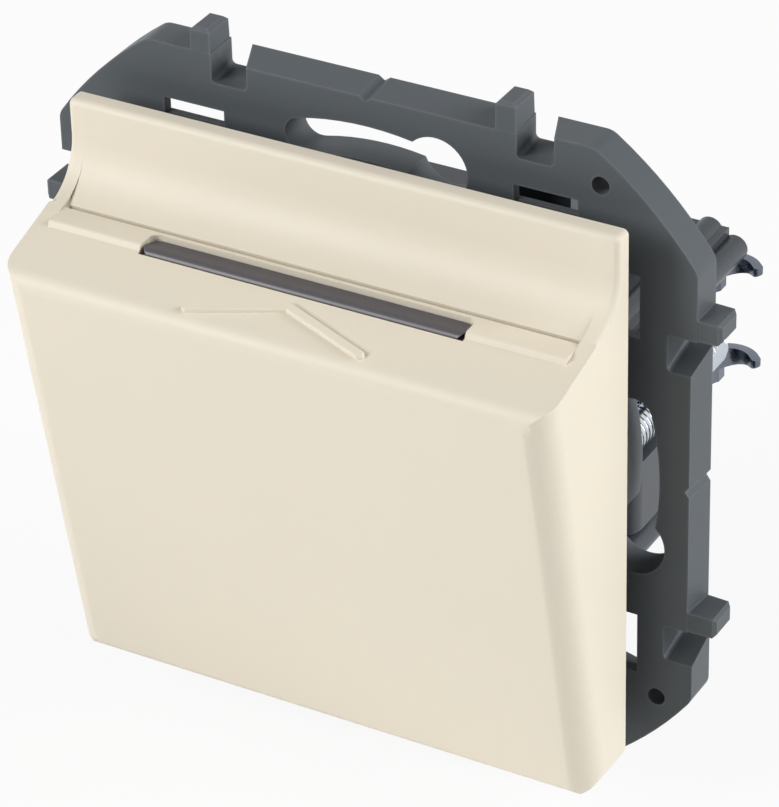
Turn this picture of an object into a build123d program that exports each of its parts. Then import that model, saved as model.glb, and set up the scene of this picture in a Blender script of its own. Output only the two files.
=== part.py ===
from build123d import *
import os
from math import acos, atan2, cos, degrees, radians, sin, tan

# Flush card switch for a wall box: a moulded cover with a card slit, clipped over a mechanism
# that a square support frame holds on the wall. Millimetres, +X right, +Z up, the front faces -Y.
# The origin is the centre of the fixing holes on the frame's wall face.

# How far a cut runs past the face it opens
cut_past = 1.0

# Support frame
frame_pitch = 71.0
frame_thickness = 4.0
block_proud = 0.2
edge_draft = 0.4
corner_radius = 43.4
corner_round = 2.0
opening_margin = 0.4
opening_round = 2.5
fixing_centres = 60.0
slot_width = 3.8
slot_sweep = 14.0
keyhole_angle = 14.75
keyhole_radius = 3.5
window_offset = 19.55
window_length = 6.9
window_height = 4.0
window_outer = 29.6
window_slit = 1.8
window_recess = 0.4
window_wall = 1.2
window_margin = 0.8
window_rear_low = 23.0
pin_hole_radius = 0.95
pin_hole_place = (25.4, 31.8)
notch_floor = 32.5
notch_starts = (-17.3, 16.5)
notch_front_length = 4.2
notch_rear_length = 2.2
notch_round = 0.5
tab_centres = (-18.55, 15.3)
tab_reach = 38.15
tab_width = 2.3
tab_tip_width = 2.2
tab_tip_depth = 3.7
tab_tip_setback = 0.1
tab_tip_chamfer = 0.35
vee_half_width = 0.65
vee_depth = 0.45

# Cover
cover_rear = -8.15
cover_half_width = 30.45
cover_front_half_width = 30.2
cover_top = 30.5
cover_bottom = -31.5
cover_wall = 1.5
cheek_scoop_radius = 5.5
channel_scoop_radius = 6.3
scoop_centre = (-15.6, 26.6)
slope_angle = 16.5
ridge_place = (-24.7, 18.15)
ridge_round = 1.8
lip_round = 0.7
bottom_front = -15.3
bottom_round = 1.2
front_corner_round = 3.3
bottom_corner_round = 2.5
top_corner_round = 1.0
corner_cross = 0.05
corner_past_bottom = 3.0
corner_past_top = 8.0
cheek_thickness = 1.7
ledge_front = -17.3
ledge_top = 20.9
ledge_drop = 0.5
ledge_round = 0.45
slit_width = 0.85
slit_half_length = 28.4
slit_y = -14.0
lens_half_length = 17.8
lens_middle = -16.4
lens_depth = 2.6
lens_top = 19.9
lens_thickness = 1.3
lens_clearance = 0.2
lens_stem_half_length = 16.0
lens_stem_depth = 1.0
lens_stem_bottom = 16.0
lens_front_round = 0.9
lens_corner_round = 0.9
lens_boss_margin = 1.5
lens_floor = 1.3
arrow_apex = (0, -2.3)
arrow_end = (9.5, -5.6)
arrow_radius = 0.5
arrow_height = 0.3
arrow_chamfer = 0.12

# Card pocket inside the cover
card_guide = 27.5
pocket_front = -13.45
pocket_thickness = 1.2
pocket_half_width = 28.4
pocket_top = 18.8
pocket_bottom = -28.6
stop_top = -24.2
stop_width = 1.2
stop_reach = 1.3
stake_place = (18.0, -26.9)
stake_radius = 1.0
peg_place = (20.0, 16.0)
peg_radius = 1.8
peg_end = -11.0
peg_fit = 0.1
socket_wall = 1.2
socket_mouth = -8.6
window_half = 3.4
pocket_window = (-18.2, -5.0)

# Mechanism
plate_lap = 2.0
plate_thickness = 2.0
housing_half_width = 20.0
housing_half_height = 21.6
housing_round = 3.0
shoulder_depth = 8.8
body_half_height = 15.8
housing_split = 16.0
rear_half_height = 9.2
rear_round = 1.5
rear_chamfer = 0.5
rear_depth = 24.0
latch_inner = 13.4
latch_top = 27.2
latch_depths = (0.4, 2.6)
chamber_half_width = 7.5
chamber_half_height = 13.0
chamber_rear = 13.0
seat_clearance = 0.3
shaft_clearance = 0.05
plate_window = (-16.0, 3.2)
screw_place = (-14.0, 18.4)
housing_screw_radius = 1.3
housing_screw_end = 7.6
housing_head_radius = 2.4
housing_head_length = 1.4
slot_cut_width = 0.8
slot_cut_depth = 0.8
board_half_width = 6.0
board_low = 13.5
board_high = 20.0
board_thickness = 1.6
lamp_z = 16.8
lamp_radius = 1.5
lamp_end = -11.8
lamp_flange = 0.4
wing_overlap = 3.0
wing_end = 26.0
long_wing = (8.2, 12.4)
short_wing = (8.9, 14.6)
short_wing_end = 13.5
wing_margin = 1.8
wing_rib_radius = 1.4
cheek_inner = 2.4
cheek_sheet = 2.7
cheek_depth = 7.4
cheek_round = 2.2

# Card lever and switching contact
lever_pivot = (-1.0, 0.0)
pin_radius = 1.0
pin_reach = 8.8
lever_width = 5.0
lever_hub = 2.3
lever_nose = (-14.0, -13.0)
nose_radius = 1.3
lever_arm = 7.0
arm_tip_radius = 1.2
arm_tip_z = 0.2
arm_play = 0.1
contact_gap = 1.6
slider_half_width = 7.2
slider_front = 9.8
slider_rear = 12.7
slider_low = -1.0
shelf_half_width = 3.0
shelf_front = 5.5
shelf_thickness = 1.8
bridge_half_width = 6.0
bridge_half_depth = 1.2
spring_radius = 1.6
spring_wire = 0.25
spring_turns = 5
bridge_thickness = 0.8
strip_thickness = 1.0
strip_y = 14.2
strip_inner = 11.5
strip_outer = 15.5
strip_half_height = 9.0
finger_inner = 2.8
finger_outer = 6.0
finger_front = 5.5
finger_root_half = 2.2
channel_play = 0.2
finger_top = 9.1
finger_thickness = 0.8
rivet_radius = 1.1
rivet_height = 0.6
contact_x = 4.4
contact_y = 6.6

# Terminals
terminal_x = 13.5
terminal_z = 5.6
cage_width = 7.0
cage_depth = 5.4
cage_wall = 0.9
cage_front = 10.2
cage_length = 8.2
cage_travel = 2.0
screw_radius = 1.5
screw_tip = 15.4
screw_head_radius = 2.5
screw_head_length = 2.0
screw_head_y = 20.9
wire_hole_radius = 1.9
wire_hole_y = 12.65

# Claws
claw_screw_offset = 5.2
claw_screw_radius = 1.9
claw_screw_end = 22.5
claw_head_radius = 3.1
claw_head_length = 1.7
claw_pivot_offset = 1.9
claw_pivot_y = 3.2
claw_pin_radius = 0.75
claw_hub = 1.7
claw_sheet = 1.0
claw_web = (5.5, 7.4)
claw_root_offset = 1.3
claw_ramp = (6.9, 11.9)
claw_ramp_rise = 1.45
prong_inner = 3.5
prong_outer = 7.5
prong_bend_y = 25.3
hook_radius = 2.7
hook_bend = 135
hook_nose = 0.8
hook_step = 1.5
hook_taper = 2.9
hook_width = 6.0
nut_rest_y = 11.9
nut_length = 2.6
nut_play = 0.15
nut_inner_offset = 0.35
nut_half_height = 2.6
nut_bar_half_height = 7.0
nut_margin = 2.25
claw_pin_reach = 10.6


def front_plane(y):
    """Sketch plane at the given Y, looking at the front: local x is X, local y is Z."""
    return Plane.XZ.offset(-y)


def block(x, y, z, mode=Mode.ADD):
    """A block between pairs of limits, worked into the piece being built."""
    middle = tuple((low + high) / 2 for low, high in (x, y, z))
    with Locations(middle):
        Box(x[1] - x[0], y[1] - y[0], z[1] - z[0], mode=mode)


def bar(start, direction, length, radius, mode=Mode.ADD):
    """A round bar from a point along a direction, worked into the piece being built."""
    with Locations(Plane(origin=start, z_dir=direction)):
        Cylinder(radius, length, align=(Align.CENTER, Align.CENTER, Align.MIN), mode=mode)


def span(side, inner, outer):
    """Limits on one side of the middle, lowest first."""
    return tuple(sorted((side * inner, side * outer)))


def tapered_arm(start, start_radius, end, end_radius):
    """An arm between two round ends, as a sketch."""
    run = Vector(end[0] - start[0], end[1] - start[1])
    across = Vector(-run.Y, run.X).normalized()
    corners = [
        Vector(*start) + across * start_radius,
        Vector(*end) + across * end_radius,
        Vector(*end) - across * end_radius,
        Vector(*start) - across * start_radius,
    ]
    with BuildSketch() as arm:
        with BuildLine():
            Polyline(*corners, close=True)
        make_face()
        for place, radius in ((start, start_radius), (end, end_radius)):
            with Locations(place):
                Circle(radius)
    return arm.sketch


def save(piece, name):
    piece.part.label = name
    export_step(piece.part, f"parts/{name}.step")


os.makedirs("parts", exist_ok=True)

rearward = (0, 1, 0)
forward = (0, -1, 0)
half_pitch = frame_pitch / 2
frame_front = -frame_thickness
plate_front = frame_front - plate_thickness
fixing_radius = fixing_centres / 2
opening_side = 2 * (housing_half_height + opening_margin)
plate_half = opening_side / 2 + plate_lap
claw_screw_x = housing_half_width + claw_screw_offset
wing_root = housing_half_width - wing_overlap
wing_reach = claw_screw_x + wing_margin
pivot_x = housing_half_width + claw_pivot_offset

# Support frame: a dark plastic-coated plate, the same on its four sides. Each side has two tabs
# and two notches that interlock with the next frame at the standard pitch, and a V mark.

with BuildPart() as edge_relief:
    with BuildSketch(Plane.YZ.offset(notch_starts[0])):
        with BuildLine():
            Polyline(
                (0, half_pitch),
                (frame_front, half_pitch - edge_draft),
                (frame_front - cut_past, half_pitch - edge_draft),
                (frame_front - cut_past, half_pitch + cut_past),
                (0, half_pitch + cut_past),
                close=True,
            )
        make_face()
    extrude(amount=notch_starts[1] - notch_starts[0])

with BuildPart() as notch:
    for y, length, floor in (
        (frame_front - cut_past / 2, notch_front_length, notch_floor),
        (cut_past / 2, notch_rear_length, notch_floor + edge_draft),
    ):
        with BuildSketch(front_plane(y)) as notch_section:
            with Locations((0, floor)):
                Rectangle(length, half_pitch - floor + cut_past, align=(Align.MIN, Align.MIN))
            fillet(notch_section.vertices().sort_by(Axis.Y)[:2], notch_round)
    loft()

with BuildPart() as tab:
    with BuildSketch(Plane.XY.offset(notch_floor)):
        with Locations((0, frame_front / 2)):
            Rectangle(tab_width, frame_thickness)
    with BuildSketch(Plane.XY.offset(tab_reach)):
        with Locations((0, frame_front + tab_tip_setback + tab_tip_depth / 2)):
            Rectangle(tab_tip_width, tab_tip_depth)
    loft()
    chamfer(tab.faces().sort_by(Axis.Z)[-1].edges(), tab_tip_chamfer)

with BuildPart() as vee:
    for y in (frame_front - cut_past, cut_past):
        edge = half_pitch + y * edge_draft / frame_thickness
        mouth = vee_half_width * (1 + cut_past / vee_depth)
        with BuildSketch(front_plane(y)):
            with BuildLine():
                Polyline(
                    (-mouth, edge + cut_past),
                    (mouth, edge + cut_past),
                    (0, edge - vee_depth),
                    close=True,
                )
            make_face()
    loft()

keyhole_place = (
    fixing_radius * sin(radians(keyhole_angle)),
    fixing_radius * cos(radians(keyhole_angle)),
)
slot_line = CenterArc(
    (0, 0), fixing_radius, 90 - keyhole_angle, keyhole_angle + slot_sweep
)
window_middle = window_outer - window_slit / 2

with BuildPart() as side_holes:
    with BuildSketch(front_plane(cut_past)):
        SlotArc(slot_line, slot_width)
        with Locations(keyhole_place):
            Circle(keyhole_radius)
        with Locations((-window_offset, window_middle), (window_offset, window_middle)):
            Rectangle(window_length, window_slit)
        with Locations(pin_hole_place):
            Circle(pin_hole_radius)
    extrude(amount=frame_thickness + 2 * cut_past)

with BuildPart() as window_hollows:
    for side in (-1, 1):
        middle = side * window_offset
        block(
            (middle - window_length / 2, middle + window_length / 2),
            (frame_front - cut_past, frame_front + window_recess),
            (window_outer - window_height, window_outer),
        )
        block(
            (middle - window_length / 2 - window_margin, middle + window_length / 2 + window_margin),
            (frame_front + window_wall, cut_past),
            (window_rear_low, window_outer + window_margin),
        )

with BuildPart() as support_frame:
    with BuildSketch(front_plane(0)) as frame_outline:
        Rectangle(frame_pitch + 2 * block_proud, frame_pitch + 2 * block_proud)
        Circle(corner_radius, mode=Mode.INTERSECT)
        fillet(frame_outline.vertices(), corner_round)
        Rectangle(opening_side, opening_side, mode=Mode.SUBTRACT)
    extrude(amount=frame_thickness)
    for side in range(4):
        for feature in (edge_relief, vee, side_holes, window_hollows):
            add(feature.part.rotate(Axis.Y, 90 * side), mode=Mode.SUBTRACT)
        for start in notch_starts:
            moved = Pos(start, 0, 0) * notch.part
            add(moved.rotate(Axis.Y, 90 * side), mode=Mode.SUBTRACT)
        for centre in tab_centres:
            moved = Pos(centre, 0, 0) * tab.part
            add(moved.rotate(Axis.Y, 90 * side))
    for side in (-1, 1):
        bar(
            (side * claw_screw_x, frame_front, 0),
            rearward,
            frame_thickness,
            claw_screw_radius + seat_clearance,
            Mode.SUBTRACT,
        )
save(support_frame, "support_frame")

# Cover: one thin-walled ivory moulding. Its front face leans forward to a ridge; above the ridge a
# slope, a ledge with the card slit and a scoop rise to the top lip between two cheeks.

lean = atan2(bottom_front - ridge_place[0], ridge_place[1] - cover_bottom)
side_taper = (cover_half_width - cover_front_half_width) / (cover_rear - ridge_place[0])
slope_rise = tan(radians(slope_angle))


def cover_half(y):
    """Half the cover's width at a depth; its sides taper towards the front."""
    return cover_half_width + (y - cover_rear) * side_taper


def front_y(z):
    """Depth of the leaning front face at a height."""
    return bottom_front - (z - cover_bottom) * tan(lean)


def slope_z(y):
    """Height of the slope above the ridge at a depth."""
    return ridge_place[1] + (y - ridge_place[0]) * slope_rise


def width_limits(inset):
    """The cover's width and its rounded corners in front view, drawn in by a wall."""
    with BuildPart() as limits:
        for y in (cover_rear + cut_past, ridge_place[0] - cut_past):
            with BuildSketch(front_plane(y)) as outline:
                with Locations((0, cover_bottom + inset - corner_cross)):
                    Rectangle(
                        2 * (cover_half(y) - inset + corner_cross),
                        cover_top - cover_bottom - 2 * (inset - corner_cross),
                        align=(Align.CENTER, Align.MIN),
                    )
                corners = outline.vertices().sort_by(Axis.Y)
                fillet(corners[:2], bottom_corner_round - inset)
                fillet(corners[2:], top_corner_round)
        loft()
    return limits.part


def corner_limits(inset):
    """The rounded corners between the leaning front and the sides, drawn in by a wall."""
    with BuildPart() as limits:
        for z in (cover_bottom - corner_past_bottom, cover_top + corner_past_top):
            y = front_y(z)
            leaning = Plane(origin=(0, y, z), x_dir=(1, 0, 0), z_dir=(0, -sin(lean), cos(lean)))
            front_half = cover_half(y) - inset
            reach = 2 * (cover_rear - ridge_place[0])
            rear_half = front_half + side_taper * reach
            with BuildSketch(leaning) as outline:
                with BuildLine():
                    Polyline(
                        (-front_half, inset - corner_cross),
                        (front_half, inset - corner_cross),
                        (rear_half, reach),
                        (-rear_half, reach),
                        close=True,
                    )
                make_face()
                corners = outline.vertices().sort_by(Axis.Y)
                fillet(corners[:2], front_corner_round - inset)
        loft()
    return limits.part


scoop_y, scoop_z = scoop_centre
slope_radians = radians(slope_angle)
cheek_scoop_end = (
    scoop_y + cheek_scoop_radius * sin(slope_radians),
    scoop_z - cheek_scoop_radius * cos(slope_radians),
)

with BuildPart() as cover_form:
    with BuildSketch(Plane.YZ.offset(-cover_half_width)) as profile:
        with BuildLine():
            Polyline(
                (scoop_y + cheek_scoop_radius, scoop_z),
                (scoop_y + cheek_scoop_radius, cover_top),
                (cover_rear, cover_top),
                (cover_rear, cover_bottom),
                (bottom_front, cover_bottom),
                ridge_place,
                cheek_scoop_end,
            )
            CenterArc(scoop_centre, cheek_scoop_radius, 0, slope_angle - 90)
        make_face()
        for place, radius in (
            (ridge_place, ridge_round),
            ((bottom_front, cover_bottom), bottom_round),
            ((scoop_y + cheek_scoop_radius, cover_top), lip_round),
        ):
            fillet(profile.vertices().sort_by_distance((*place, 0))[0], radius)
    extrude(amount=2 * cover_half_width)

wall_line = cover_wall / cos(lean)
cavity_scoop = channel_scoop_radius + cover_wall
cavity_top = scoop_z - cavity_scoop
inner_ridge_y = front_y(cavity_top) + wall_line

with BuildPart() as cover_cavity:
    with BuildSketch(Plane.YZ.offset(-cover_half_width)):
        with BuildLine():
            Polyline(
                (scoop_y, cavity_top),
                (inner_ridge_y + cover_wall, cavity_top),
                (inner_ridge_y, cavity_top - cover_wall),
                (front_y(cover_bottom) + wall_line, cover_bottom),
                (cover_rear + cut_past, cover_bottom),
                (cover_rear + cut_past, scoop_z),
                (scoop_y + cavity_scoop, scoop_z),
            )
            CenterArc(scoop_centre, cavity_scoop, 0, -90)
        make_face()
    extrude(amount=2 * cover_half_width)
    add(width_limits(cover_wall), mode=Mode.INTERSECT)
    add(corner_limits(cover_wall), mode=Mode.INTERSECT)

channel_half = cover_half(scoop_y) - cheek_thickness

slit = (slit_y - slit_width / 2, slit_y + slit_width / 2)
channel_angle = degrees(acos((slit[1] - scoop_y) / channel_scoop_radius))
channel_foot = scoop_z - channel_scoop_radius * sin(radians(channel_angle))
channel_rear = scoop_y + channel_scoop_radius

with BuildPart() as channel:
    with BuildSketch(Plane.YZ.offset(-channel_half)) as channel_profile:
        with BuildLine():
            Line((channel_rear, scoop_z), (channel_rear, cover_top - lip_round))
            CenterArc((channel_rear + lip_round, cover_top - lip_round), lip_round, 180, -90)
            Polyline(
                (channel_rear + lip_round, cover_top),
                (channel_rear + lip_round, cover_top + cut_past),
                (ledge_front, cover_top + cut_past),
                (ledge_front, ledge_top),
                (slit[1], ledge_top),
                (slit[1], channel_foot),
            )
            CenterArc(scoop_centre, channel_scoop_radius, 0, -channel_angle)
        make_face()
    extrude(amount=2 * channel_half)

lens_low = lens_top - lens_thickness
recess_y = (lens_middle - lens_depth / 2 - lens_clearance, lens_middle + lens_depth / 2 + lens_clearance)
recess_half = lens_half_length + lens_clearance
boss_half = recess_half + lens_boss_margin
stem_half = lens_stem_half_length + lens_clearance
stem_y = (
    lens_middle - lens_stem_depth / 2 - lens_clearance,
    lens_middle + lens_stem_depth / 2 + lens_clearance,
)

slope_plane = Plane(
    origin=(0, ledge_front, slope_z(ledge_front)),
    x_dir=(1, 0, 0),
    z_dir=(0, -sin(slope_radians), cos(slope_radians)),
)

arrow_arms = [
    tapered_arm(arrow_apex, arrow_radius, (side * arrow_end[0], arrow_end[1]), arrow_radius)
    for side in (-1, 1)
]

with BuildPart() as arrow:
    with BuildSketch(slope_plane.offset(-arrow_height)):
        add(arrow_arms)
    extrude(amount=2 * arrow_height)
    slope_normal = Axis(slope_plane.origin, slope_plane.z_dir)
    chamfer(arrow.faces().sort_by(slope_normal)[-1].edges(), arrow_chamfer)

boss_front = recess_y[0] - lens_floor

with BuildPart() as cover_solid:
    add(cover_form.part)
    add(width_limits(0), mode=Mode.INTERSECT)
    add(corner_limits(0), mode=Mode.INTERSECT)

with BuildPart() as card_guides:
    with BuildSketch(Plane.YZ.offset(-cover_half_width)):
        with BuildLine():
            Polyline(
                (pocket_front, pocket_bottom),
                (front_y(pocket_bottom), pocket_bottom),
                (front_y(lens_stem_bottom), lens_stem_bottom),
                (pocket_front, lens_stem_bottom),
                close=True,
            )
        make_face()
    extrude(amount=2 * cover_half_width)
    block(
        (-card_guide, card_guide),
        (ridge_place[0], cover_rear),
        (cover_bottom, cover_top),
        Mode.SUBTRACT,
    )
    for side in (-1, 1):
        stake_rear = pocket_front + pocket_thickness
        bar(
            (side * stake_place[0], stake_rear, stake_place[1]),
            forward,
            stake_rear - front_y(stake_place[1]) - cover_wall / 2,
            stake_radius,
        )
    add(cover_solid.part, mode=Mode.INTERSECT)

with BuildPart() as lens_recess:
    block((-recess_half, recess_half), recess_y, (lens_low, cover_top))
    fillet(lens_recess.edges().filter_by(Axis.Z).sort_by(Axis.Y)[-2:], lens_corner_round)
    block((-stem_half, stem_half), stem_y, (0, cover_top))

with BuildPart() as cover_shell:
    add(cover_solid.part)
    add(cover_cavity.part, mode=Mode.SUBTRACT)
    block(
        (-boss_half, boss_half),
        (boss_front, slit[0] - lens_clearance),
        (lens_low - lens_floor, slope_z(boss_front) - lens_clearance * 2),
    )
    add(card_guides.part)
    with BuildSketch(Plane.YZ.offset(-channel_half)) as ledge_profile:
        with BuildLine():
            Polyline(
                (slit[1], ledge_top - cover_wall),
                (slit[1], ledge_top),
                (ledge_front, ledge_top),
                (ledge_front - ledge_round, slope_z(ledge_front) - ledge_drop),
                (ledge_front - ledge_round, ledge_top - cover_wall),
                close=True,
            )
        make_face()
        corner = ledge_profile.vertices().sort_by_distance((ledge_front, ledge_top, 0))
        fillet(corner[0], ledge_round)
    extrude(amount=2 * channel_half)
    add(channel.part, mode=Mode.SUBTRACT)
    block((-slit_half_length, slit_half_length), slit, (0, scoop_z), Mode.SUBTRACT)
    add(lens_recess.part, mode=Mode.SUBTRACT)
    add(arrow.part)
save(cover_shell, "cover_shell")

# Card pocket: a plate fixed inside the cover behind the slit. The card drops in front of it to the
# stop; its four sockets slide over the pegs of the front plate.

with BuildPart() as card_pocket:
    block(
        (-pocket_half_width, pocket_half_width),
        (pocket_front, pocket_front + pocket_thickness),
        (pocket_bottom, pocket_top),
    )
    block(
        (-card_guide + seat_clearance, card_guide - seat_clearance),
        (pocket_front - stop_reach, pocket_front),
        (stop_top - stop_width, stop_top),
    )
    block((-window_half, window_half), (pocket_front, 0), pocket_window, Mode.SUBTRACT)
    block(
        (-window_half, window_half),
        (pocket_front, 0),
        (lamp_z - lamp_radius, pocket_top + cut_past),
        Mode.SUBTRACT,
    )
    for side in (-1, 1):
        bar(
            (side * stake_place[0], pocket_front, stake_place[1]),
            rearward,
            pocket_thickness,
            stake_radius + shaft_clearance,
            Mode.SUBTRACT,
        )
        for level in (-1, 1):
            place = (side * peg_place[0], pocket_front + pocket_thickness, level * peg_place[1])
            reach = socket_mouth - place[1]
            bar(place, rearward, reach, peg_radius + peg_fit + socket_wall)
            bar(place, rearward, reach, peg_radius + peg_fit, Mode.SUBTRACT)
save(card_pocket, "card_pocket")

# Card light: a smoked bar set in the ledge, with a stem that carries the lamp's light up to it.

with BuildPart() as light_lens:
    block(
        (-lens_half_length, lens_half_length),
        (lens_middle - lens_depth / 2, lens_middle + lens_depth / 2),
        (lens_low, lens_top),
    )
    fillet(
        light_lens.edges().filter_by(Axis.Z).sort_by(Axis.Y)[-2:],
        lens_corner_round - lens_clearance,
    )
    top_front = light_lens.edges().filter_by(Axis.X).group_by(Axis.Z)[-1].sort_by(Axis.Y)[0]
    fillet(top_front, lens_front_round)
    block(
        (-lens_stem_half_length, lens_stem_half_length),
        (lens_middle - lens_stem_depth / 2, lens_middle + lens_stem_depth / 2),
        (lens_stem_bottom, lens_low),
    )
save(light_lens, "light_lens")


def screw_form(head_radius, head_length, radius, length):
    """A slotted screw along Z: the shank rises from the origin and the head hangs below it."""
    with BuildPart() as form:
        Cylinder(radius, length, align=(Align.CENTER, Align.CENTER, Align.MIN))
        Cylinder(head_radius, head_length, align=(Align.CENTER, Align.CENTER, Align.MAX))
        chamfer(form.faces().sort_by(Axis.Z)[0].edges(), head_length / 6)
        chamfer(form.faces().sort_by(Axis.Z)[-1].edges(), radius / 3)
        with Locations((0, 0, -head_length)):
            Box(
                2 * head_radius,
                slot_cut_width,
                2 * slot_cut_depth,
                mode=Mode.SUBTRACT,
            )
    return form.part


housing_screw = screw_form(
    housing_head_radius,
    housing_head_length,
    housing_screw_radius,
    housing_screw_end - plate_front,
)
screw_x, screw_z = screw_place
housing_screw_places = {"upper": (screw_x, screw_z), "lower": (-screw_x, -screw_z)}

for place, (x, z) in housing_screw_places.items():
    with BuildPart() as screw:
        add(Plane(origin=(x, plate_front, z), z_dir=rearward) * housing_screw)
    save(screw, f"housing_screw_{place}")

# Front plate: clamps the support frame against the housing's wings, holds the cover's four pegs
# and lets the card lever through.

with BuildPart() as front_plate:
    block((-plate_half, plate_half), (plate_front, frame_front), (-plate_half, plate_half))
    fillet(front_plate.edges().filter_by(Axis.Y), housing_round)
    block((-window_half, window_half), (plate_front, frame_front), plate_window, Mode.SUBTRACT)
    for x, z in housing_screw_places.values():
        bar(
            (x, plate_front, z),
            rearward,
            plate_thickness,
            housing_screw_radius + peg_fit,
            Mode.SUBTRACT,
        )
    for side in (-1, 1):
        bar(
            (side * claw_screw_x, plate_front, 0),
            rearward,
            plate_thickness,
            claw_head_radius + cover_wall / 3,
            Mode.SUBTRACT,
        )
        for level in (-1, 1):
            bar(
                (side * peg_place[0], frame_front, level * peg_place[1]),
                forward,
                frame_front - peg_end,
                peg_radius,
            )
save(front_plate, "front_plate")

# Lamp board and indicator lamp, set behind the lens.

with BuildPart() as lamp_board:
    block(
        (-board_half_width, board_half_width),
        (plate_front - board_thickness, plate_front),
        (board_low, board_high),
    )
save(lamp_board, "lamp_board")

board_front = plate_front - board_thickness

with BuildPart() as indicator_lamp:
    lamp_base = (0, board_front, lamp_z)
    bar(lamp_base, forward, lamp_flange * 2, lamp_radius + lamp_flange)
    bar(lamp_base, forward, board_front - lamp_end - lamp_radius, lamp_radius)
    with Locations((0, lamp_end + lamp_radius, lamp_z)):
        Sphere(lamp_radius)
save(indicator_lamp, "indicator_lamp")

# Housing: the moulded block behind the wall face, with the lever's chamber, four terminal wells and
# two wings that stand behind the frame on each side and carry the claws.

pivot_y, pivot_z = lever_pivot
finger_low = finger_top - finger_thickness
bridge_top = finger_low - rivet_height - contact_gap
bridge_low = bridge_top - bridge_thickness
cage_half = (cage_width / 2, cage_depth / 2)
cage_rear = cage_front + cage_length
well_half = (cage_half[0] + seat_clearance, cage_half[1] + seat_clearance)
well_rear = cage_rear + cage_travel + seat_clearance
sides = {"left": -1, "right": 1}
levels = {"upper": 1, "lower": -1}


def rounded_block(half_width, depths, half_height, radius):
    """A block of the housing between two depths, with rounded corners in front view."""
    with BuildPart() as form:
        block((-half_width, half_width), depths, (-half_height, half_height))
        fillet(form.edges().filter_by(Axis.Y), radius)
    return form.part


outer_line = wing_reach - wing_rib_radius


def wing(side, level, limits, ribs, depths):
    """A wing beside the claw between two heights, with round ribs along its outer side."""
    inner, outer = limits
    with BuildPart() as form:
        with BuildSketch(front_plane(depths[0])):
            middle = (
                side * (wing_root + outer_line - wing_rib_radius / 2) / 2,
                level * (inner + outer - wing_rib_radius / 2) / 2,
            )
            with Locations(middle):
                Rectangle(
                    outer_line - wing_rib_radius / 2 - wing_root,
                    outer - wing_rib_radius / 2 - inner,
                )
            for rib_x, rib_z in ribs:
                with Locations((side * rib_x, level * rib_z)):
                    Circle(wing_rib_radius)
        extrude(amount=depths[0] - depths[1])
    return form.part


long_ribs = (
    (outer_line, long_wing[0] + wing_rib_radius),
    (outer_line - 2 * wing_rib_radius, long_wing[1] - wing_rib_radius),
)
short_ribs = ((outer_line, short_wing[1] - wing_rib_radius),)
housing_wings = [wing(side, side, long_wing, long_ribs, (0, housing_split)) for side in (-1, 1)]
cover_wings = [
    wing(side, side, long_wing, long_ribs, (housing_split, wing_end)) for side in (-1, 1)
]
short_wings = [
    wing(side, -side, short_wing, short_ribs, (0, short_wing_end)) for side in (-1, 1)
]

with BuildPart() as claw_cheeks:
    for side in (-1, 1):
        block(
            span(side, wing_reach - cheek_sheet, wing_reach),
            (0, cheek_depth),
            span(-side, cheek_inner, short_wing[0] + wing_rib_radius),
        )
    upright = claw_cheeks.edges().filter_by(Axis.Z).group_by(Axis.Y)[0].sort_by(Axis.X)
    fillet([upright[0], upright[-1]], cheek_round)

with BuildPart() as mechanism_housing:
    add(rounded_block(housing_half_width, (frame_front, shoulder_depth), housing_half_height, housing_round))
    add(rounded_block(housing_half_width, (frame_front, housing_split), body_half_height, housing_round))
    add([*housing_wings, *short_wings])
    add(claw_cheeks.part)
    for side in (-1, 1):
        block(
            span(side, latch_inner, housing_half_width),
            latch_depths,
            span(side, housing_half_height - housing_round, latch_top),
        )
    for side in (-1, 1):
        bar(
            (side * pivot_x, claw_pivot_y, -claw_pin_reach),
            (0, 0, 1),
            2 * claw_pin_reach,
            claw_pin_radius + shaft_clearance / 5,
            Mode.SUBTRACT,
        )
        block(
            span(side, chamber_half_width, pin_reach + seat_clearance),
            (frame_front, pivot_y),
            (-pin_radius - shaft_clearance, pin_radius + shaft_clearance),
            Mode.SUBTRACT,
        )
        bar(
            (side * chamber_half_width, pivot_y, 0),
            (side, 0, 0),
            pin_reach + seat_clearance - chamber_half_width,
            pin_radius + shaft_clearance,
            Mode.SUBTRACT,
        )
        block(
            span(side, strip_inner - channel_play, strip_outer + channel_play),
            (strip_y, housing_split),
            (-strip_half_height - channel_play, strip_half_height + channel_play),
            Mode.SUBTRACT,
        )
        block(
            span(side, finger_inner - channel_play, strip_inner),
            (strip_y, housing_split),
            (-finger_root_half - channel_play, finger_root_half + channel_play),
            Mode.SUBTRACT,
        )
        block(
            span(side, finger_inner - channel_play, finger_outer + channel_play),
            (strip_y, housing_split),
            (-finger_root_half - channel_play, finger_top + channel_play),
            Mode.SUBTRACT,
        )
        block(
            span(side, finger_inner - channel_play, finger_outer + channel_play),
            (chamber_rear, strip_y),
            (finger_low - channel_play, finger_top + channel_play),
            Mode.SUBTRACT,
        )
        for level in (-1, 1):
            x = side * terminal_x
            z = level * terminal_z
            block(
                (x - well_half[0], x + well_half[0]),
                (cage_front - seat_clearance, housing_split),
                (z - well_half[1], z + well_half[1]),
                Mode.SUBTRACT,
            )
            bar(
                (x, wire_hole_y, z),
                (0, 0, level),
                housing_half_height,
                wire_hole_radius,
                Mode.SUBTRACT,
            )
    block(
        (-chamber_half_width, chamber_half_width),
        (frame_front, chamber_rear),
        (-chamber_half_height, chamber_half_height),
        Mode.SUBTRACT,
    )
    for x, z in housing_screw_places.values():
        bar(
            (x, frame_front, z),
            rearward,
            housing_screw_end - frame_front + seat_clearance,
            housing_screw_radius + shaft_clearance / 5,
            Mode.SUBTRACT,
        )
save(mechanism_housing, "mechanism_housing")

# Rear cover: closes the housing over the terminals, with an access hole behind each screw.

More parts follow.
